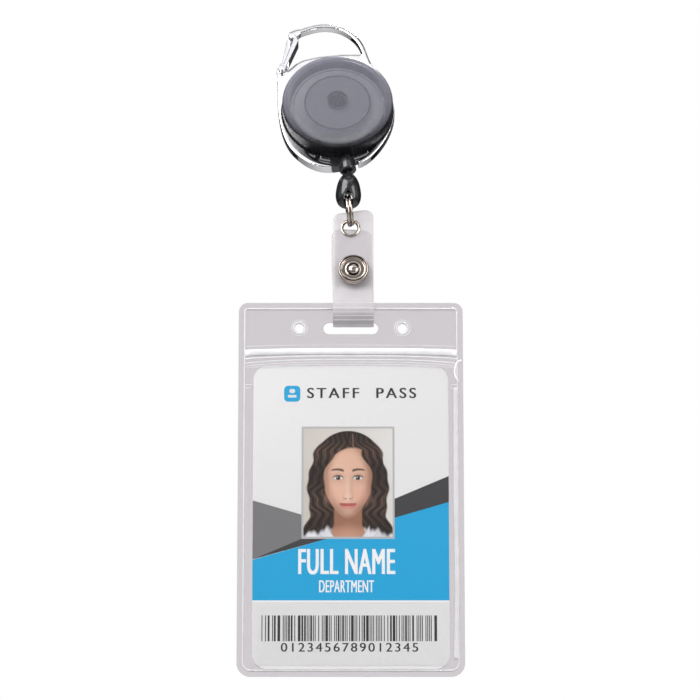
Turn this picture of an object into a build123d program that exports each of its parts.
"""Retractable badge reel on a carabiner, with its snap strap, badge holder and card.

The reel hangs by the carabiner's arch. The origin is the highest point inside that arch.
+Z is up and the badge faces -Y. Sizes are in millimetres.
"""
import os
from math import cos, radians, sin, sqrt, tan

from build123d import *

os.makedirs("parts", exist_ok=True)

# ---------------------------------------------------------------- reel: driving dimensions
LEAN = 19.5            # the reel's top leans back by this angle
ROLL = 8.5             # and the reel is rolled anticlockwise, seen from the front
HOUSING_R = 17.6
HOUSING_FRONT = 8.0    # levels of the housing's two faces along the reel's axis
HOUSING_BACK = -5.0
FRONT_ROUND = 3.2      # rounding of the housing's front rim and of its back rim
BACK_ROUND = 2.0
WALL = 1.2
CORD_D = 0.75
CORD_H = -0.8          # height of the cord's plane, and the middle of the arch
ARCH_T = 2.8           # the arch's thickness along the reel's axis
ARCH_W = 1.5
RING_BACK = -3.3       # the frame's ring is deeper towards the back
RING_FRONT = 0.1
FLANGE_R = 15.3        # inner edge of the ring's flange, clamped between the covers
FLANGE_LOW = -2.0
FLANGE_HIGH = -0.8
FIT = 0.05             # clearance of sliding and clamped fits
OVERLAP = 0.3          # how far joined features run into each other
EYE_X, EYE_Y = 0.3, 33.33

SPOOL_R = 14.7
CORE_R = 11.8
CUP_R = 10.3           # the spring's cup stands over the spool's front flange
CAVITY_R = 9.4
SPOOL_LOW, SPOOL_HIGH = -2.9, 3.2
CUP_HIGH = 5.0
CUP_WEB = 1.0
CUP_ROUND = 0.4
DISH = 0.35            # the front flange's dish, between its rim and the cup
DISH_RIM = 0.6
COVER_T = 0.5          # plate that closes the spring's cavity at the back
GROOVE_LOW, GROOVE_HIGH = -2.1, 0.5
WINDING_R = 13.9
POST_R = 2.5
POST_HIGH = 5.6
POST_SLOT = 0.6
PIN_R = 0.8
PIN_LOW, PIN_HIGH = -3.6, 2.2
PIN_X, PIN_Y = 8.5, 14.05
PIN_END_GAP = 0.2
BOSS_WALL = 0.45
BOSS_HIGH = 4.0

GUIDE_R = 2.65
GUIDE_IN, GUIDE_OUT = -16.3, -23.0
GUIDE_SHOULDER = -19.1  # the neck that the covers hold meets the barrel here
GUIDE_NECK_R = 1.9
FOOT_X = (-4.8, -1.5)  # the guide's foot closes the frame's gap on its left
FOOT_TOP, FOOT_LOW = -16.5, -21.1
CORD_BORE = 0.5

# ---------------------------------------------------------------- gate
PIVOT_X, PIVOT_Y = -15.4, 18.5
GATE_PIN_R = 0.6
GATE_HEAD_R = 0.95
HORN_R = 1.7           # the frame's horn, thinned to stand between the gate's cheeks
HORN_ROOM = 2.9
CHEEK_T = 0.6
GATE_CORNER = 0.5
CHEEK_GAP = 0.15

# ---------------------------------------------------------------- hanging pieces
NECK_GAP = 0.35        # between the guide's mouth and the top of the cord's end piece
DROP_LEN = 11.8
DROP_R = 4.05
DROP_WIDEST = 7.2
NECK_R = 2.3           # the drop's top is round, so it swivels under the guide's slanted mouth
NECK_END = 60          # the round top ends at this angle and the drop widens from there
HOLE_DOWN = 7.4
HOLE_R = 1.2
KNOT_DOWN = 4.2        # the cord's knot sits in a chamber this far down the drop
KNOT_R = 1.0
KNOT_ROOM_R = 1.15
KNOT_ROOM_H = 3.4      # the chamber opens into the ring's hole, where the knot goes in
WEB_R = 1.6            # half thickness of the web that the ring hangs on
GROOVE_HALF = 1.45
GROOVE_DEPTH = 3.0
RING_WIRE = 0.52       # radius of the split ring's wire
RING_IN = 4.1
RING_ROLL = 7.0
RING_GAP = 0.2

STRAP_LEAN = 12.0
STRAP_W = 12.7
LEAF_T = 0.8
LEAF_GAP = 1.0
LOOP_R = 3.4           # bend of the fold, which loops round the holder's top strip
LOOP_SLANT = 17.0      # the leaves close in from the loop to the snap at this angle
LOOP_CLOSE_R = 5.0
HANG_GAP = 0.3         # between the fold and the edge of the slot that hangs on it
LEAF_LONG = 39.1
LEAF_SHORT = 33.0
LEAF_CORNER = 2.6
EYELET_UP = 33.3
EYELET_IN, EYELET_OUT = 2.1, 3.0
EYELET_WALL = 0.45
LIP_R = 0.8
SNAP_UP = 18.1
SNAP_R = 4.75
CAP_T = 2.8            # the cap covers the snap's stacked rings
CAP_RIM = 0.9          # width of the cap's rolled rim, round a sunk ring
CAP_SUNK = 0.6
CAP_DOME_R = 1.7
CAP_ROUND = 0.5
CAP_GROOVE = 0.4       # depth of the two side grooves, and their heights over the leaf
CAP_GROOVE_H = 0.2
CAP_GROOVES = (0.6, 1.4)
POST_CAP_T = 1.3
SEAT_R = 4.0           # the socket's and the stud's plates
STUD_R = 1.5
STUD_H = 0.5
STUD_ROOM = 0.2
STUD_TAPER = 12
BARREL_R = 1.25

HOLDER_W = 69.6
HOLDER_H = 116.4
TOP_CORNER, LOW_CORNER = 2.8, 4.2
SHEET_T = 0.4
STRIP_HALF = 0.45      # half thickness where the two sheets are welded flat
POCKET_HALF = 0.9
RIM_W = 2.2
SLOT_DOWN = 8.1
SLOT_W, SLOT_H = 17.0, 3.65
PUNCH_DOWN = 8.0
PUNCH_GAP = 32.0
PUNCH_R = 1.4
ZIP_DOWN = 15.4
ZIP_H = 1.9
ZIP_RIB_H = 0.6
ZIP_END = 0.3
GROOVE_STRIP_T = 0.6   # thickness of the two halves of the press zip, and where each one lies
GROOVE_LEVEL = -0.18
RIB_STRIP_T = 0.3
RIB_LEVEL = 0.1
RIB_BASE_LEVEL = 0.33
ZIP_ROOM = 0.2
STEP_FROM, STEP_TO = 2.5, 1.2   # the sheets step out to the pocket over the zip, this far above it
CARD_W, CARD_H, CARD_T = 60.3, 94.1, 0.76
CARD_DOWN = 20.0
CARD_CORNER = 4.5
HOLDER_X = 8.84        # the holder's middle, and the strap's place beside it
STRAP_X = 9.64


def save(part, name):
    part.label = name
    export_step(part, f"parts/{name}.step")
    print(name, round(part.volume, 2), "mm3")


# ---------------------------------------------------------------- planes and places
lean = radians(LEAN)
roll = radians(ROLL)
reel_normal = Vector(0, -cos(lean), sin(lean))
reel_x = Vector(cos(roll), sin(roll) * sin(lean), sin(roll) * cos(lean))
reel_y = Vector(-sin(roll), cos(roll) * sin(lean), cos(roll) * cos(lean))
reel_centre = reel_x * -EYE_X - reel_y * EYE_Y - reel_normal * CORD_H
REEL = Plane(origin=reel_centre, x_dir=reel_x, z_dir=reel_normal)


def reel_level(height):
    """The reel's own plane, moved along the reel's axis."""
    return REEL.offset(height)


def across_reel(distance_down):
    """A plane square to the cord where it leaves the reel, on the cord's own line."""
    place = REEL.from_local_coords((0, distance_down, CORD_H))
    return Plane(origin=place, x_dir=reel_x, z_dir=reel_y * -1)


mouth = Vector(*REEL.from_local_coords((0, GUIDE_OUT, CORD_H)))
neck_top = mouth - reel_y * NECK_GAP
hole_centre = neck_top - Vector(0, 0, HOLE_DOWN)
web_centre = hole_centre - Vector(0, 0, HOLE_R + WEB_R)

ring_tilt = radians(RING_ROLL)
ring_down = Vector(sin(ring_tilt), 0, -cos(ring_tilt))
ring_axis = Vector(cos(ring_tilt), 0, sin(ring_tilt))
ring_centre = web_centre + ring_down * (RING_IN - WEB_R - RING_GAP)
lip_centre = ring_centre + ring_down * (RING_IN - LIP_R - RING_GAP)

strap_lean = radians(STRAP_LEAN)
strap_up = Vector(0, sin(strap_lean), cos(strap_lean))
strap_normal = Vector(0, -cos(strap_lean), sin(strap_lean))
leaf_mid = LEAF_GAP / 2 + LEAF_T / 2
eyelet_centre = lip_centre - strap_up * (EYELET_IN + LIP_R)
fold = eyelet_centre - strap_up * EYELET_UP - strap_normal * leaf_mid
fold = Vector(STRAP_X, fold.Y, fold.Z)
STRAP = Plane(origin=fold, x_dir=(1, 0, 0), z_dir=strap_normal)
STRAP_SIDE = Plane(origin=fold, x_dir=strap_normal, z_dir=(-1, 0, 0))

slot_top = fold.Z + (LEAF_T + HANG_GAP) * cos(strap_lean)
holder_top = slot_top + SLOT_DOWN - SLOT_H / 2
HOLDER = Plane(origin=(HOLDER_X, fold.Y, holder_top), x_dir=(1, 0, 0), z_dir=(0, -1, 0))
HOLDER_SIDE = Plane(origin=(HOLDER_X, fold.Y, holder_top), x_dir=(0, -1, 0), z_dir=(-1, 0, 0))

# ---------------------------------------------------------------- carabiner frame
ring_outline = [
    (-16.9, 18.4), (-18.0, 10.0), (-18.8, -1.2), (-18.3, -7.0), (-16.8, -12.0),
    (-14.0, -16.2), (-10.6, -19.3), (-7.2, -20.8), (-0.5, -21.2), (4.2, -20.7),
    (8.9, -18.0), (12.4, -14.4), (15.8, -9.2), (17.9, -3.2), (17.9, 3.0),
    (16.4, 9.0), (14.2, 14.8), (12.6, 20.2),
]
# the top edge drops beside the gate's pivot, so the gate has room to open
top_edge = [(11.0, 21.3), (5.0, 22.2), (-3.0, 22.4), (-8.0, 21.8), (-10.0, 21.0), (-11.0, 20.3),
            (-12.0, 19.5), (-13.0, 18.7), (-14.0, 18.0)]
chin_outline = [(-12.2, -13.2), (-9.6, -17.2), (-6.4, -19.2), (-0.5, -19.9), (4.0, -19.4), (8.2, -16.6),
                (11.2, -13.2)]
chin_inset = [(x * 0.975, y + 0.3) for x, y in chin_outline]
arch_path = [(12.9, 16.0), (12.0, 20.6), (11.0, 25.5), (8.6, 29.6), (4.9, 32.7), (EYE_X, EYE_Y + ARCH_W / 2),
             (-4.6, 33.7), (-8.4, 32.7)]
nose_outline = [(-7.4, 34.0), (-9.0, 33.9), (-11.2, 33.0), (-11.4, 31.2), (-10.2, 30.4), (-7.6, 31.9)]
GAP_X = (-4.9, 3.6)
GAP_Y = -21.0
GAP_H = 6.0
CHIN_ROOM = 9.4        # height of the flange's opening over the chin
pin_places = [(x, y) for x in (-PIN_X, PIN_X) for y in (-PIN_Y, PIN_Y)]
arch_low = CORD_H - ARCH_T / 2
arch_high = CORD_H + ARCH_T / 2


def front_edges(solid, level):
    """The edges that lie in one level of the reel."""
    return solid.edges().filter_by(lambda e: abs(REEL.to_local_coords(e.center()).Z - level) < 0.01)


with BuildPart() as frame:
    with BuildSketch(reel_level(RING_BACK)):
        with BuildLine():
            Spline(ring_outline)
            Polyline([ring_outline[-1], *top_edge, ring_outline[0]])
        make_face()
        with Locations((PIVOT_X, PIVOT_Y)):
            Circle(HORN_R)
    extrude(amount=RING_FRONT - RING_BACK)
    with BuildSketch(reel_level(arch_low)):
        with BuildLine():
            Spline(arch_path)
        trace(line_width=ARCH_W)
        with BuildLine():
            Polyline(*nose_outline, close=True)
        make_face()
    extrude(amount=ARCH_T)
    with BuildSketch(reel_level(RING_BACK)):
        Circle(HOUSING_R + FIT)
        with BuildLine():
            Spline(chin_outline)
            Line(chin_outline[-1], chin_outline[0])
        make_face()
    extrude(amount=ARCH_T + HOUSING_FRONT, mode=Mode.SUBTRACT)
    with BuildSketch(reel_level(FLANGE_LOW)):
        Circle(HOUSING_R + OVERLAP)
        Circle(FLANGE_R, mode=Mode.SUBTRACT)
        with Locations(*pin_places):
            Circle(PIN_R + FIT, mode=Mode.SUBTRACT)
        with Locations((0, -HOUSING_R)):
            Rectangle(2 * HOUSING_R, CHIN_ROOM, mode=Mode.SUBTRACT)
    extrude(amount=FLANGE_HIGH - FLANGE_LOW)
    # the gap at the bottom, where the cord's guide stands
    with BuildSketch(reel_level(HOUSING_BACK)):
        with Locations(((GAP_X[0] + GAP_X[1]) / 2, GAP_Y)):
            Rectangle(GAP_X[1] - GAP_X[0], GAP_H)
    extrude(amount=HOUSING_FRONT - HOUSING_BACK, mode=Mode.SUBTRACT)
    # the horn is thinned on both faces to fit between the gate's cheeks
    with BuildSketch(reel_level(RING_BACK - 1)):
        with Locations((PIVOT_X, PIVOT_Y)):
            Circle(HORN_ROOM)
    extrude(amount=arch_low - RING_BACK + 1, mode=Mode.SUBTRACT)
    with BuildSketch(reel_level(RING_BACK - 1)):
        with Locations((PIVOT_X, PIVOT_Y)):
            Circle(GATE_PIN_R)
    extrude(amount=HOUSING_FRONT, mode=Mode.SUBTRACT)
save(frame.part, "carabiner_frame")

# ---------------------------------------------------------------- gate
cheek_low = arch_low - CHEEK_GAP - CHEEK_T
gate_width = ARCH_T + 2 * (CHEEK_GAP + CHEEK_T)
gate_outline = [(-16.3, 18.6), (-15.4, 17.4), (-14.5, 18.1), (-8.5, 28.9), (-8.9, 31.2), (-11.9, 32.2)]
channel_outline = [(-19.5, 15.0), (-12.2, 15.0), (-12.9, 22.4), (-9.6, 28.3), (-9.8, 29.6),
                   (-7.0, 30.4), (-7.0, 34.4), (-16.0, 34.4)]
# the front cheek is the narrower one: its outer part is cut away over the channel
cheek_cut = [(-17.5, 20.4), (-14.5, 20.4), (-10.6, 28.6), (-9.9, 30.4), (-12.0, 33.5), (-17.5, 33.5)]
with BuildPart() as gate:
    with BuildSketch(reel_level(cheek_low)):
        with BuildLine():
            Polyline(*gate_outline, close=True)
        make_face()
        fillet(vertices(), GATE_CORNER)
    extrude(amount=gate_width)
    with BuildSketch(reel_level(arch_low - CHEEK_GAP)):
        with BuildLine():
            Polyline(*channel_outline, close=True)
        make_face()
    extrude(amount=ARCH_T + 2 * CHEEK_GAP, mode=Mode.SUBTRACT)
    with BuildSketch(reel_level(arch_high)):
        with BuildLine():
            Polyline(*cheek_cut, close=True)
        make_face()
    extrude(amount=CHEEK_GAP + CHEEK_T + 1, mode=Mode.SUBTRACT)
    with BuildSketch(reel_level(cheek_low - 1)):
        with Locations((PIVOT_X, PIVOT_Y)):
            Circle(GATE_PIN_R + FIT)
    extrude(amount=gate_width + 2, mode=Mode.SUBTRACT)
save(gate.part, "gate_lever")

HEAD_T = 0.4
with BuildPart() as gate_pin:
    with BuildSketch(reel_level(cheek_low - FIT)):
        with Locations((PIVOT_X, PIVOT_Y)):
            Circle(GATE_PIN_R)
    extrude(amount=gate_width + 2 * FIT)
    with BuildSketch(reel_level(cheek_low - FIT - HEAD_T), reel_level(cheek_low + gate_width + FIT)):
        with Locations((PIVOT_X, PIVOT_Y)):
            Circle(GATE_HEAD_R)
    extrude(amount=HEAD_T)
save(gate_pin.part, "gate_pin")

gate_spring_path = [(-13.6, 20.6), (-13.0, 23.6), (-11.2, 26.4)]
GATE_SPRING_T, GATE_SPRING_W = 0.35, 1.0
with BuildPart() as gate_spring:
    with BuildSketch(reel_level(CORD_H - GATE_SPRING_W / 2)):
        with BuildLine():
            Spline(gate_spring_path)
        trace(line_width=GATE_SPRING_T)
    extrude(amount=GATE_SPRING_W)
save(gate_spring.part, "gate_spring")

# ---------------------------------------------------------------- housing covers
front_inner = HOUSING_FRONT - WALL
back_inner = HOUSING_BACK + WALL
cover_parting = FLANGE_HIGH + FIT
GUIDE_ROOM_IN = GUIDE_IN + 2   # the covers' cut for the cord's guide starts here
GUIDE_ROOM = 12
POST_BOSS = 0.7                # wall of the bosses that hold the post's ends
POST_GRIP = 0.4
POST_RIM = 0.3
chin_low = RING_BACK + 0.1

foot_at = ((FOOT_X[0] + FOOT_X[1]) / 2, (FOOT_TOP + FOOT_LOW) / 2)
foot_width = FOOT_X[1] - FOOT_X[0]
foot_height = FOOT_TOP - FOOT_LOW
with BuildPart() as front_cover:
    with BuildSketch(reel_level(cover_parting)):
        Circle(HOUSING_R)
    extrude(amount=HOUSING_FRONT - cover_parting)
    fillet(front_edges(front_cover, HOUSING_FRONT), FRONT_ROUND)
    with BuildSketch(reel_level(cover_parting)):
        Circle(HOUSING_R - WALL)
    extrude(amount=front_inner - cover_parting, mode=Mode.SUBTRACT)
    fillet(front_edges(front_cover, front_inner), FRONT_ROUND - WALL)
    with BuildSketch(reel_level(cover_parting)):
        with Locations(*pin_places):
            Circle(PIN_R + BOSS_WALL)
        Circle(HOUSING_R, mode=Mode.INTERSECT)
    extrude(amount=BOSS_HIGH - cover_parting)
    with BuildSketch(reel_level(cover_parting)):
        with Locations(*pin_places):
            Circle(PIN_R)
    extrude(amount=PIN_HIGH + PIN_END_GAP - cover_parting, mode=Mode.SUBTRACT)
    # room for the neck of the cord's guide, which the two covers hold
    with BuildSketch(across_reel(GUIDE_ROOM_IN)):
        Circle(GUIDE_NECK_R)
    extrude(amount=GUIDE_ROOM, mode=Mode.SUBTRACT)
    with BuildSketch(reel_level(POST_HIGH - POST_GRIP)):
        Circle(POST_R + POST_BOSS)
    extrude(amount=front_inner - POST_HIGH + POST_GRIP)
    with BuildSketch(reel_level(POST_HIGH - POST_GRIP)):
        Circle(POST_R)
    extrude(amount=POST_GRIP, mode=Mode.SUBTRACT)
save(front_cover.part, "front_cover")

with BuildPart() as rear_cover:
    with BuildSketch(reel_level(HOUSING_BACK)):
        Circle(HOUSING_R)
    extrude(amount=FLANGE_LOW - FIT - HOUSING_BACK)
    fillet(front_edges(rear_cover, HOUSING_BACK), BACK_ROUND)
    with BuildSketch(reel_level(back_inner)):
        Circle(HOUSING_R - WALL)
    extrude(amount=HOUSING_FRONT, mode=Mode.SUBTRACT)
    with BuildSketch(reel_level(back_inner)):
        with Locations(*pin_places):
            Circle(PIN_R + BOSS_WALL)
    extrude(amount=FLANGE_LOW - FIT - back_inner)
    # the chin fills the frame between the housing's round wall and the cord's guide
    with BuildSketch(reel_level(chin_low)):
        with BuildLine():
            Spline(chin_inset)
            Line(chin_inset[-1], chin_inset[0])
        make_face()
        Circle(HOUSING_R - WALL, mode=Mode.SUBTRACT)
    extrude(amount=FLANGE_HIGH - chin_low)
    with BuildSketch(reel_level(chin_low)):
        with Locations(foot_at):
            Rectangle(foot_width + 2 * FIT, foot_height)
        Circle(HOUSING_R, mode=Mode.SUBTRACT)
    extrude(amount=FLANGE_HIGH - chin_low, mode=Mode.SUBTRACT)
    with BuildSketch(across_reel(GUIDE_ROOM_IN)):
        Circle(GUIDE_NECK_R)
    extrude(amount=GUIDE_ROOM, mode=Mode.SUBTRACT)
    with BuildSketch(across_reel(GUIDE_SHOULDER + FIT)):
        Circle(GUIDE_R + FIT)
    extrude(amount=GUIDE_ROOM, mode=Mode.SUBTRACT)
    with BuildSketch(reel_level(back_inner)):
        with Locations(*pin_places):
            Circle(PIN_R)
    extrude(amount=4, mode=Mode.SUBTRACT)
    with BuildSketch(reel_level(back_inner)):
        Circle(POST_R + POST_BOSS)
        Circle(POST_R, mode=Mode.SUBTRACT)
    extrude(amount=POST_RIM)
save(rear_cover.part, "rear_cover")

with BuildPart() as cover_pins:
    with BuildSketch(reel_level(PIN_LOW)):
        with Locations(*pin_places):
            Circle(PIN_R)
    extrude(amount=PIN_HIGH - PIN_LOW)
save(cover_pins.part, "cover_pins")

SLOT_LOW = -2.6
with BuildPart() as centre_post:
    with BuildSketch(reel_level(back_inner)):
        Circle(POST_R)
    extrude(amount=POST_HIGH - back_inner)
    with BuildSketch(reel_level(SLOT_LOW)):
        Rectangle(POST_SLOT, 2 * POST_R + 1)
    extrude(amount=HOUSING_FRONT - SLOT_LOW, mode=Mode.SUBTRACT)
save(centre_post.part, "centre_post")

GUIDE_ROUND = 0.6
with BuildPart() as cord_guide:
    with BuildSketch(across_reel(GUIDE_IN)):
        Circle(GUIDE_NECK_R)
    extrude(amount=GUIDE_IN - GUIDE_OUT)
    with BuildSketch(across_reel(GUIDE_SHOULDER)):
        Circle(GUIDE_R)
    extrude(amount=GUIDE_SHOULDER - GUIDE_OUT)
    fillet(cord_guide.edges().group_by(lambda e: REEL.to_local_coords(e.center()).Y)[0], GUIDE_ROUND)
    with BuildSketch(reel_level(chin_low)):
        with Locations(foot_at):
            Rectangle(foot_width, foot_height)
        Circle(HOUSING_R + FIT, mode=Mode.SUBTRACT)
    extrude(amount=RING_FRONT - chin_low)
    with BuildSketch(across_reel(GUIDE_IN + 1)):
        Circle(CORD_BORE)
    extrude(amount=GUIDE_IN + 2 - GUIDE_OUT, mode=Mode.SUBTRACT)
save(cord_guide.part, "cord_guide")

# ---------------------------------------------------------------- spool
with BuildPart() as spool:
    with BuildSketch(reel_level(SPOOL_LOW)):
        Circle(SPOOL_R)
    extrude(amount=SPOOL_HIGH - SPOOL_LOW)
    with BuildSketch(reel_level(SPOOL_HIGH)):
        Circle(CUP_R)
    extrude(amount=CUP_HIGH - SPOOL_HIGH)
    fillet(front_edges(spool, CUP_HIGH), CUP_ROUND)
    with BuildSketch(reel_level(GROOVE_LOW)):
        Circle(SPOOL_R + 1)
        Circle(CORE_R, mode=Mode.SUBTRACT)
    extrude(amount=GROOVE_HIGH - GROOVE_LOW, mode=Mode.SUBTRACT)
    with BuildSketch(reel_level(SPOOL_LOW)):
        Circle(CAVITY_R)
    extrude(amount=CUP_HIGH - CUP_WEB - SPOOL_LOW, mode=Mode.SUBTRACT)
    with BuildSketch(reel_level(SPOOL_HIGH - DISH)):
        Circle(SPOOL_R - DISH_RIM)
        Circle(CUP_R + DISH_RIM, mode=Mode.SUBTRACT)
    extrude(amount=1, mode=Mode.SUBTRACT)
    with BuildSketch(reel_level(CUP_HIGH - CUP_WEB)):
        Circle(POST_R + FIT)
    extrude(amount=CUP_WEB, mode=Mode.SUBTRACT)
save(spool.part, "spool")

with BuildPart() as spool_cover:
    with BuildSketch(reel_level(SPOOL_LOW - COVER_T)):
        Circle(CORE_R)
        Circle(POST_R + FIT, mode=Mode.SUBTRACT)
    extrude(amount=COVER_T)
save(spool_cover.part, "spool_cover")

with BuildPart() as winding:
    with BuildSketch(reel_level(GROOVE_LOW + FIT)):
        Circle(WINDING_R)
        Circle(CORE_R, mode=Mode.SUBTRACT)
    extrude(amount=GROOVE_HIGH - GROOVE_LOW - 2 * FIT)
save(winding.part, "cord_winding")

# the flat spring: its inner end sits in the post's slot and its turns fill the cavity
SPRING_TURNS = 6.5
SPRING_T = 0.25
SPRING_LOW, SPRING_HIGH = -2.4, 3.4
SPRING_GAP = 0.5
SPRING_IN, SPRING_OUT = POST_R + SPRING_GAP, CAVITY_R - SPRING_GAP
STEPS_PER_TURN = 16
spiral = []
for step in range(int(SPRING_TURNS * STEPS_PER_TURN) + 1):
    turns = step / STEPS_PER_TURN
    radius = SPRING_IN + (SPRING_OUT - SPRING_IN) * turns / SPRING_TURNS
    spiral.append(Vector(radius, 0, 0).rotate(Axis.Z, 90 + 360 * turns))
with BuildPart() as power_spring:
    with BuildSketch(reel_level(SPRING_LOW)):
        with BuildLine():
            Spline(*[(p.X, p.Y) for p in spiral])
        trace(line_width=SPRING_T)
        with Locations((0, (SPRING_IN + SPRING_GAP) / 2)):
            Rectangle(SPRING_T, SPRING_IN - SPRING_GAP)
    extrude(amount=SPRING_HIGH - SPRING_LOW)
save(power_spring.part, "power_spring")

# ---------------------------------------------------------------- cord from the spool to its end
BEND_R = 1.5
WRAP_ANGLE = 35        # half the turn that the cord makes into the guide
TOUCH = 0.03           # gap between faces that only touch
LEAD_BEND_R = 2.4
LEAD_CORNER = 0.6
corner_y = GUIDE_IN + BEND_R * tan(radians(WRAP_ANGLE))
wound_r = WINDING_R + CORD_D / 2 + TOUCH
leave = sqrt(1 - (wound_r / corner_y) ** 2)
run_start = (-wound_r * leave, -wound_r * wound_r / -corner_y)
with BuildPart() as cord_run:
    with BuildLine() as run_line:
        FilletPolyline(
            REEL.from_local_coords((*run_start, CORD_H)),
            REEL.from_local_coords((0, corner_y, CORD_H)),
            REEL.from_local_coords((0, GUIDE_OUT, CORD_H)),
            radius=BEND_R,
        )
    with BuildSketch(Plane(origin=run_line.wire() @ 0, z_dir=run_line.wire() % 0)):
        Circle(CORD_D / 2)
    sweep()
print("cord bend", BEND_R, "mm; run length", round(run_line.wire().length, 2))
save(cord_run.part, "cord_run")

with BuildPart() as cord_lead:
    with BuildLine() as lead_line:
        FilletPolyline(
            mouth,
            neck_top - Vector(0, 0, LEAD_CORNER),
            neck_top - Vector(0, 0, KNOT_DOWN - KNOT_R),
            radius=LEAD_BEND_R,
        )
    with BuildSketch(Plane(origin=lead_line.wire() @ 0, z_dir=lead_line.wire() % 0)):
        Circle(CORD_D / 2)
    sweep()
save(cord_lead.part, "cord_lead")

with BuildPart() as cord_knot:
    with Locations(Location(neck_top - Vector(0, 0, KNOT_DOWN))):
        Sphere(KNOT_R)
save(cord_knot.part, "cord_knot")

# ---------------------------------------------------------------- end piece on the cord
neck_end = radians(NECK_END)
neck_rim = (NECK_R * sin(neck_end), NECK_R * cos(neck_end) - NECK_R)
neck_half = (NECK_R * sin(neck_end / 2), NECK_R * cos(neck_end / 2) - NECK_R)
DROP_SIDE = Plane(origin=neck_top, x_dir=(1, 0, 0), z_dir=(0, -1, 0))
drop_side = [(3.45, -3.8), (2.65, -2.0)]
with BuildPart() as drop:
    with BuildSketch(DROP_SIDE):
        with BuildLine():
            Line((0, 0), (0, -DROP_LEN))
            Spline((0, -DROP_LEN), (DROP_R, -DROP_WIDEST), tangents=[(1, 0), (0, 1)])
            Spline((DROP_R, -DROP_WIDEST), *drop_side, neck_rim)
            ThreePointArc(neck_rim, neck_half, (0, 0))
        make_face()
    revolve(axis=Axis(neck_top, (0, 0, 1)))
    # hole for the ring, then a groove front and back down to the tip, round a web
    with BuildSketch(Plane(origin=hole_centre, x_dir=(1, 0, 0), z_dir=(0, -1, 0))):
        Circle(HOLE_R)
    extrude(amount=DROP_R + 1, both=True, mode=Mode.SUBTRACT)
    with BuildSketch(Plane(origin=web_centre, x_dir=(0, 1, 0), z_dir=(1, 0, 0))):
        with Locations((0, (HOLE_R + WEB_R - GROOVE_DEPTH) / 2)):
            Rectangle(2 * DROP_R + 2, HOLE_R + WEB_R + GROOVE_DEPTH)
        Circle(WEB_R, mode=Mode.SUBTRACT)
        with Locations((0, -DROP_LEN / 2)):
            Rectangle(2 * WEB_R, DROP_LEN, mode=Mode.SUBTRACT)
    extrude(amount=GROOVE_HALF, both=True, mode=Mode.SUBTRACT)
    with Locations(Location(neck_top)):
        Hole(CORD_BORE, depth=KNOT_DOWN)
    with BuildSketch(Plane(origin=neck_top - Vector(0, 0, KNOT_DOWN - KNOT_R - FIT), z_dir=(0, 0, -1))):
        Circle(KNOT_ROOM_R)
    extrude(amount=KNOT_ROOM_H, mode=Mode.SUBTRACT)
save(drop.part, "cord_end_drop")

# ---------------------------------------------------------------- split ring
with BuildPart() as split_ring:
    with BuildSketch(Plane(origin=ring_centre, x_dir=ring_down * -1, z_dir=ring_down.cross(ring_axis))):
        for side in (-1, 1):
            with Locations((RING_IN + RING_WIRE, side * (RING_WIRE - TOUCH))):
                Circle(RING_WIRE)
    revolve(axis=Axis(ring_centre, ring_axis))
save(split_ring.part, "split_ring")


# ---------------------------------------------------------------- strap
def leaf_profile(side, length):
    """Centre line of one leaf, from the bottom of the fold to its free end."""
    slant = radians(LOOP_SLANT)
    start = (0, LEAF_T / 2)
    loop = JernArc(start=start, tangent=(side, 0), radius=LOOP_R, arc_size=side * (90 + LOOP_SLANT))
    closing = LOOP_R * cos(slant) - LOOP_CLOSE_R * (1 - cos(slant)) - leaf_mid
    slope = Line(loop @ 1, loop @ 1 + (loop % 1) * (closing / sin(slant)))
    back = JernArc(start=slope @ 1, tangent=slope % 1, radius=LOOP_CLOSE_R, arc_size=-side * LOOP_SLANT)
    Line(back @ 1, (side * leaf_mid, length))


def leaf(side, length, holes):
    """One leaf of the vinyl strap: side 1 in front of the holder, side -1 behind it."""
    with BuildPart() as made:
        with BuildSketch(STRAP_SIDE):
            with BuildLine():
                leaf_profile(side, length)
            trace(line_width=LEAF_T)
        extrude(amount=STRAP_W / 2, both=True)
        with BuildSketch(STRAP):
            with Locations((0, length / 2 - LOOP_R)):
                RectangleRounded(STRAP_W, length + 2 * LOOP_R, LEAF_CORNER)
        extrude(amount=2 * LOOP_R, both=True, mode=Mode.INTERSECT)
        for across, up, radius in holes:
            with BuildSketch(STRAP):
                with Locations((across, up)):
                    Circle(radius)
            extrude(amount=2 * LOOP_R, both=True, mode=Mode.SUBTRACT)
    return made.part


eyelet_x = eyelet_centre.X - STRAP_X
eyelet_hole = (eyelet_x, EYELET_UP, EYELET_IN + EYELET_WALL)
snap_hole = (0, SNAP_UP, BARREL_R)
save(leaf(1, LEAF_LONG, [eyelet_hole, snap_hole]), "strap_front_leaf")
save(leaf(-1, LEAF_SHORT, [snap_hole]), "strap_rear_leaf")

with BuildPart() as eyelet:
    EYELET_SIDE = Plane(origin=eyelet_centre, x_dir=(1, 0, 0), z_dir=strap_up)
    with BuildSketch(EYELET_SIDE):
        with Locations((EYELET_IN + LIP_R, 0)):
            Circle(LIP_R)
        with Locations((EYELET_OUT + 1, 0)):
            Rectangle(2, 4, mode=Mode.SUBTRACT)
        with Locations((EYELET_IN + EYELET_WALL + 1, 0)):
            Rectangle(2, LEAF_T, mode=Mode.SUBTRACT)
    revolve(axis=Axis(eyelet_centre, strap_normal))
save(eyelet.part, "strap_eyelet")

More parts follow.
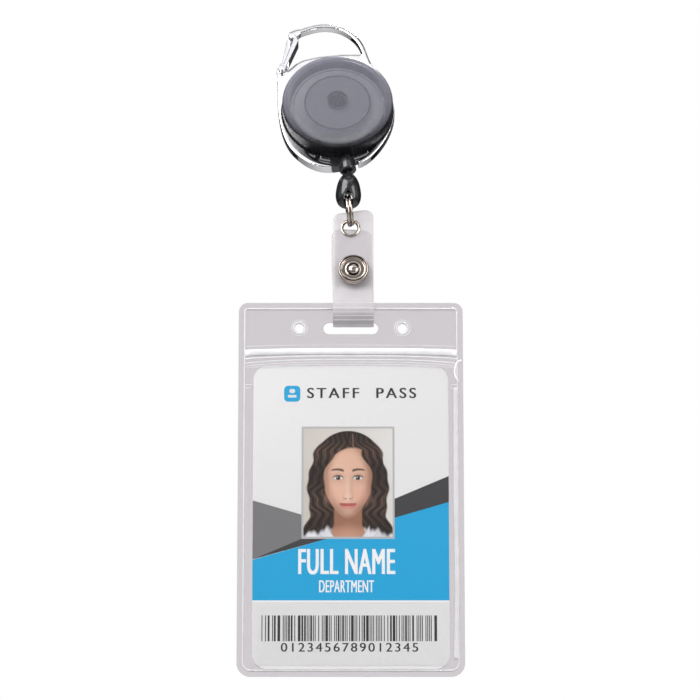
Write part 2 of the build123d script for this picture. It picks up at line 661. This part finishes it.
face_n = LEAF_GAP / 2 + LEAF_T
with BuildPart() as snap_cap:
    with BuildSketch(STRAP.offset(face_n)):
        with Locations((0, SNAP_UP)):
            Circle(SNAP_R)
    extrude(amount=CAP_T)
    fillet(snap_cap.edges().group_by(lambda e: STRAP.to_local_coords(e.center()).Z)[-1], CAP_ROUND)
    with BuildSketch(STRAP.offset(face_n + CAP_T - CAP_SUNK)):
        with Locations((0, SNAP_UP)):
            Circle(SNAP_R - CAP_RIM)
            Circle(CAP_DOME_R, mode=Mode.SUBTRACT)
    extrude(amount=2, mode=Mode.SUBTRACT)
    for groove in CAP_GROOVES:
        with BuildSketch(STRAP.offset(face_n + groove)):
            with Locations((0, SNAP_UP)):
                Circle(SNAP_R + 1)
                Circle(SNAP_R - CAP_GROOVE, mode=Mode.SUBTRACT)
        extrude(amount=CAP_GROOVE_H, mode=Mode.SUBTRACT)
    with BuildSketch(STRAP.offset(LEAF_GAP / 2)):
        with Locations((0, SNAP_UP)):
            Circle(BARREL_R)
    extrude(amount=LEAF_T)
save(snap_cap.part, "snap_cap")

with BuildPart() as snap_socket:
    with BuildSketch(STRAP.offset(TOUCH)):
        with Locations((0, SNAP_UP)):
            Circle(SEAT_R)
            Circle(STUD_R + STUD_ROOM, mode=Mode.SUBTRACT)
    extrude(amount=LEAF_GAP / 2 - TOUCH)
save(snap_socket.part, "snap_socket")

with BuildPart() as snap_stud:
    with BuildSketch(STRAP.offset(-LEAF_GAP / 2)):
        with Locations((0, SNAP_UP)):
            Circle(SEAT_R)
    extrude(amount=LEAF_GAP / 2 - TOUCH)
    with BuildSketch(STRAP.offset(-2 * FIT)):
        with Locations((0, SNAP_UP)):
            Circle(STUD_R)
    extrude(amount=STUD_H, taper=STUD_TAPER)
save(snap_stud.part, "snap_stud")

with BuildPart() as snap_post:
    with BuildSketch(STRAP.offset(-face_n - POST_CAP_T)):
        with Locations((0, SNAP_UP)):
            Circle(SNAP_R)
    extrude(amount=POST_CAP_T)
    fillet(snap_post.edges().group_by(lambda e: STRAP.to_local_coords(e.center()).Z)[0], CAP_ROUND)
    with BuildSketch(STRAP.offset(-face_n)):
        with Locations((0, SNAP_UP)):
            Circle(BARREL_R)
    extrude(amount=LEAF_T)
save(snap_post.part, "snap_post")

# ---------------------------------------------------------------- badge holder


def sheet(side):
    """One vinyl sheet: flat along the top strip, then stepped out round the pocket."""
    inner, outer = side * (STRIP_HALF - SHEET_T), side * STRIP_HALF
    deep = side * (POCKET_HALF - SHEET_T)
    deep_out = side * POCKET_HALF
    with BuildPart() as made:
        with BuildSketch(HOLDER_SIDE):
            with BuildLine():
                Polyline(
                    (inner, 0), (outer, 0), (outer, STEP_FROM - ZIP_DOWN), (deep_out, STEP_TO - ZIP_DOWN),
                    (deep_out, -HOLDER_H), (deep, -HOLDER_H), (deep, STEP_TO - ZIP_DOWN),
                    (inner, STEP_FROM - ZIP_DOWN), close=True,
                )
            make_face()
        extrude(amount=HOLDER_W / 2, both=True)
        if side < 0:
            # welded rim: the back sheet meets the front one along both sides and the bottom
            with BuildSketch(HOLDER.offset(deep)):
                with Locations((0, -HOLDER_H / 2 - ZIP_DOWN / 2)):
                    Rectangle(HOLDER_W, HOLDER_H - ZIP_DOWN)
                with Locations((0, -HOLDER_H / 2 - ZIP_DOWN / 2 + RIM_W / 2 + 1)):
                    Rectangle(HOLDER_W - 2 * RIM_W, HOLDER_H - ZIP_DOWN - RIM_W + 2, mode=Mode.SUBTRACT)
            extrude(amount=-2 * deep)
        with BuildSketch(HOLDER):
            with Locations((0, -HOLDER_H / 2)):
                Rectangle(HOLDER_W, HOLDER_H)
            fillet(vertices().group_by(Axis.Y)[-1], TOP_CORNER)
            fillet(vertices().group_by(Axis.Y)[0], LOW_CORNER)
            with Locations((0, -SLOT_DOWN)):
                SlotOverall(SLOT_W, SLOT_H, mode=Mode.SUBTRACT)
            with Locations((-PUNCH_GAP / 2, -PUNCH_DOWN), (PUNCH_GAP / 2, -PUNCH_DOWN)):
                Circle(PUNCH_R, mode=Mode.SUBTRACT)
        extrude(amount=3, both=True, mode=Mode.INTERSECT)
    return made.part


save(sheet(1), "holder_front_sheet")
save(sheet(-1), "holder_back_sheet")

zip_half_w = HOLDER_W / 2 - RIM_W - ZIP_END
with BuildPart() as zip_groove:
    with BuildSketch(HOLDER_SIDE):
        with Locations((GROOVE_LEVEL, -ZIP_DOWN)):
            Rectangle(GROOVE_STRIP_T, ZIP_H)
        with Locations((RIB_LEVEL, -ZIP_DOWN)):
            Rectangle(GROOVE_STRIP_T - ZIP_ROOM / 2, ZIP_RIB_H + ZIP_ROOM, mode=Mode.SUBTRACT)
    extrude(amount=zip_half_w, both=True)
save(zip_groove.part, "zip_groove_strip")

with BuildPart() as zip_rib:
    with BuildSketch(HOLDER_SIDE):
        with Locations((RIB_BASE_LEVEL, -ZIP_DOWN)):
            Rectangle(RIB_STRIP_T, ZIP_H)
        with Locations((RIB_LEVEL, -ZIP_DOWN)):
            Rectangle(RIB_STRIP_T, ZIP_RIB_H)
    extrude(amount=zip_half_w, both=True)
save(zip_rib.part, "zip_rib_strip")

with BuildPart() as card:
    with BuildSketch(HOLDER):
        with Locations((0, -CARD_DOWN - CARD_H / 2)):
            RectangleRounded(CARD_W, CARD_H, CARD_CORNER)
    extrude(amount=CARD_T / 2, both=True)
save(card.part, "id_card")

places = {
    "mouth": mouth, "neck": neck_top, "web": web_centre, "lip": lip_centre, "fold": fold,
    "eyelet": eyelet_centre, "reel": reel_centre, "normal": reel_normal, "cord_out": reel_y * -1,
    "gate": REEL.from_local_coords((PIVOT_X, PIVOT_Y, CORD_H)),
    "slot_top": Vector(HOLDER_X, fold.Y, slot_top), "holder_top": Vector(HOLDER_X, fold.Y, holder_top),
}
for name, place in places.items():
    print("place", name, *(round(c, 4) for c in place))
